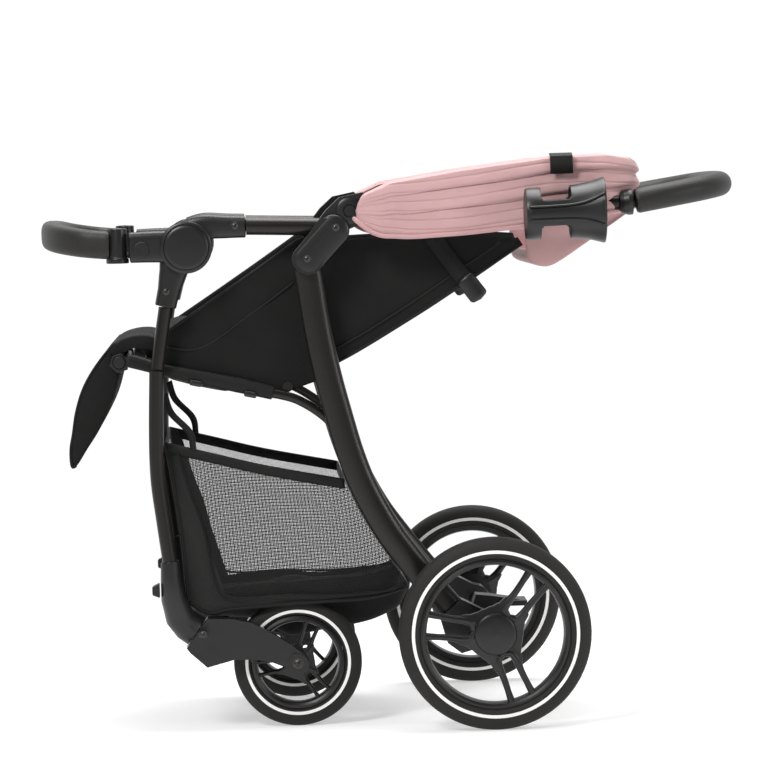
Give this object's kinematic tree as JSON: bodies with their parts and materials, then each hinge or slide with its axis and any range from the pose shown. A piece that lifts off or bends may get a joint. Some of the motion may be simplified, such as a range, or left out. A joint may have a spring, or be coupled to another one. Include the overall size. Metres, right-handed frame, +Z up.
{
  "type": "folding baby stroller",
  "caption": "Folding baby stroller with a tube frame, reclined seat, footrest, bumper bar, stacked canopy, mesh basket, cup holder, large rear wheels and front castors.",
  "frame": {"origin": "on the floor, under the middle of the object's box", "axes": "+X to the rear, towards the handle; +Y to the stroller's right; +Z up"},
  "size_m": [0.9376, 0.562, 0.75],
  "materials": {
    "frame": "satin black-brown powder coat",
    "plastic": "fine matte grain",
    "grip": "soft matte synthetic leather",
    "fabric": "plain weave",
    "mesh": "open hexagonal net",
    "canopy": "plain weave, dusty pink",
    "tyre": "matte foam rubber",
    "rim": "fine matte grain",
    "steel": "plain"
  },
  "bodies": {
    "rear_frame": {"rear_leg_left": "frame", "rear_leg_right": "frame", "axle_housing_left": "plastic", "axle_housing_right": "plastic", "rear_axle": "steel", "storage_basket": "mesh"},
    "upper_frame": {"armrest_end_left": "plastic", "armrest_end_right": "plastic", "armrest_tube_left": "frame", "armrest_tube_right": "frame", "hinge_bracket_left": "plastic", "hinge_bracket_right": "plastic", "handle_tube_left": "frame", "handle_tube_right": "frame", "handle_collar_left": "plastic", "handle_collar_right": "plastic", "handle_grip": "grip", "cup_holder": "plastic", "canopy_rear": "canopy"},
    "front_frame": {"hub_left": "plastic", "hub_right": "plastic", "front_leg_upper_left": "frame", "front_leg_upper_right": "frame", "front_leg_lower_left": "frame", "front_leg_lower_right": "frame", "elbow_left": "plastic", "elbow_right": "plastic", "front_cross_tube": "frame", "bumper_knuckle_right": "plastic"},
    "seat_frame": {"seat_rail_left": "frame", "seat_rail_right": "frame", "seat_front_tube": "frame", "seat_pad": "fabric", "side_wing_left": "fabric", "side_wing_right": "fabric"},
    "backrest_hinge": {"backrest_tube": "frame"},
    "backrest": {"backrest": "fabric"},
    "footrest": {"footrest_pad": "fabric", "footrest_frame": "plastic"},
    "canopy_middle": {"canopy_middle": "canopy"},
    "canopy_front": {"canopy_front": "canopy"},
    "bumper": {"bumper_bar": "grip", "bumper_knuckle_left": "plastic"},
    "brake": {"brake_pedal": "plastic"},
    "rear_wheel_left": {"rear_tyre_left": "tyre", "rear_rim_left": "rim"},
    "castor_left": {"fork_left": "plastic"},
    "front_wheel_left": {"front_tyre_left": "tyre", "front_rim_left": "rim"},
    "swivel_lock_left": {"swivel_lock_left": "plastic"},
    "bumper_button_left": {"bumper_button_left": "plastic"},
    "footrest_button_left": {"footrest_button_left": "plastic"},
    "rear_wheel_right": {"rear_tyre_right": "tyre", "rear_rim_right": "rim"},
    "castor_right": {"fork_right": "plastic"},
    "front_wheel_right": {"front_tyre_right": "tyre", "front_rim_right": "rim"},
    "swivel_lock_right": {"swivel_lock_right": "plastic"},
    "bumper_button_right": {"bumper_button_right": "plastic"},
    "footrest_button_right": {"footrest_button_right": "plastic"}
  },
  "joints": [
    {"name": "frame_fold", "type": "hinge", "parent": "rear_frame", "child": "upper_frame", "pos_m": [-0.109, 0, 0.624], "axis": [0, -1, 0], "range_deg": [-20, 40]},
    {"name": "hub_fold", "type": "hinge", "parent": "upper_frame", "child": "front_frame", "pos_m": [-0.269, 0, 0.645], "axis": [0, -1, 0], "range_deg": [-54, 27]},
    {"name": "seat_fold", "type": "hinge", "parent": "rear_frame", "child": "seat_frame", "pos_m": [-0.045, 0, 0.336], "axis": [0, -1, 0], "range_deg": [-10.8, 21.6], "deforming": ["storage_basket"]},
    {"name": "backrest_fold", "type": "hinge", "parent": "seat_frame", "child": "backrest_hinge", "pos_m": [-0.14, 0, 0.455], "axis": [0, -1, 0], "range_deg": [-6, 12]},
    {"name": "backrest_recline", "type": "hinge", "parent": "backrest_hinge", "child": "backrest", "pos_m": [-0.14, 0, 0.455], "axis": [0, -1, 0], "range_deg": [0, 30]},
    {"name": "footrest_tilt", "type": "hinge", "parent": "seat_frame", "child": "footrest", "pos_m": [-0.363, 0, 0.494], "axis": [0, -1, 0], "range_deg": [-65, 8]},
    {"name": "canopy_open", "type": "hinge", "parent": "upper_frame", "child": "canopy_front", "pos_m": [-0.052, 0, 0.687], "axis": [0, -1, 0], "range_deg": [0, 110]},
    {"name": "canopy_middle_open", "type": "hinge", "parent": "upper_frame", "child": "canopy_middle", "pos_m": [-0.052, 0, 0.687], "axis": [0, -1, 0], "range_deg": [0, 55]},
    {"name": "bumper_gate", "type": "hinge", "parent": "front_frame", "child": "bumper", "pos_m": [-0.36, 0.193, 0.65], "axis": [0, 0, -1], "range_deg": [0, 90]},
    {"name": "brake_press", "type": "hinge", "parent": "rear_frame", "child": "brake", "pos_m": [0.122, 0, 0.127], "axis": [0, 1, 0], "range_deg": [0, 20]},
    {"name": "rear_wheel_spin_left", "type": "hinge", "parent": "rear_frame", "child": "rear_wheel_left", "pos_m": [0.122, -0.257, 0.127], "axis": [0, 1, 0], "continuous": true},
    {"name": "castor_swivel_left", "type": "hinge", "parent": "front_frame", "child": "castor_left", "pos_m": [-0.271, -0.166, 0.132], "axis": [0.8, 0, -0.6], "continuous": true},
    {"name": "front_wheel_spin_left", "type": "hinge", "parent": "castor_left", "child": "front_wheel_left", "pos_m": [-0.137, -0.151, 0.0858], "axis": [0, 1, 0], "continuous": true},
    {"name": "swivel_lock_left", "type": "slide", "parent": "front_frame", "child": "swivel_lock_left", "axis": [0, 0, -1], "range_m": [0, 0.004]},
    {"name": "bumper_button_left", "type": "slide", "parent": "front_frame", "child": "bumper_button_left", "axis": [0, 1, 0], "range_m": [0, 0.003], "stiffness_N_per_m": 300},
    {"name": "footrest_button_left", "type": "slide", "parent": "footrest", "child": "footrest_button_left", "axis": [0, 1, 0], "range_m": [0, 0.0025], "stiffness_N_per_m": 300},
    {"name": "rear_wheel_spin_right", "type": "hinge", "parent": "rear_frame", "child": "rear_wheel_right", "pos_m": [0.122, 0.257, 0.127], "axis": [0, 1, 0], "continuous": true},
    {"name": "castor_swivel_right", "type": "hinge", "parent": "front_frame", "child": "castor_right", "pos_m": [-0.271, 0.166, 0.132], "axis": [0.8, 0, -0.6], "continuous": true},
    {"name": "front_wheel_spin_right", "type": "hinge", "parent": "castor_right", "child": "front_wheel_right", "pos_m": [-0.137, 0.151, 0.0858], "axis": [0, 1, 0], "continuous": true},
    {"name": "swivel_lock_right", "type": "slide", "parent": "front_frame", "child": "swivel_lock_right", "axis": [0, 0, -1], "range_m": [0, 0.004]},
    {"name": "bumper_button_right", "type": "slide", "parent": "front_frame", "child": "bumper_button_right", "axis": [0, -1, 0], "range_m": [0, 0.003], "stiffness_N_per_m": 300},
    {"name": "footrest_button_right", "type": "slide", "parent": "footrest", "child": "footrest_button_right", "axis": [0, -1, 0], "range_m": [0, 0.0025], "stiffness_N_per_m": 300}
  ],
  "couplings": [
    {"joint": "hub_fold", "follows": "frame_fold", "ratio": -1.333},
    {"joint": "seat_fold", "follows": "frame_fold", "ratio": 0.538},
    {"joint": "backrest_fold", "follows": "frame_fold", "ratio": 0.3},
    {"joint": "canopy_middle_open", "follows": "canopy_open", "ratio": 0.5}
  ]
}
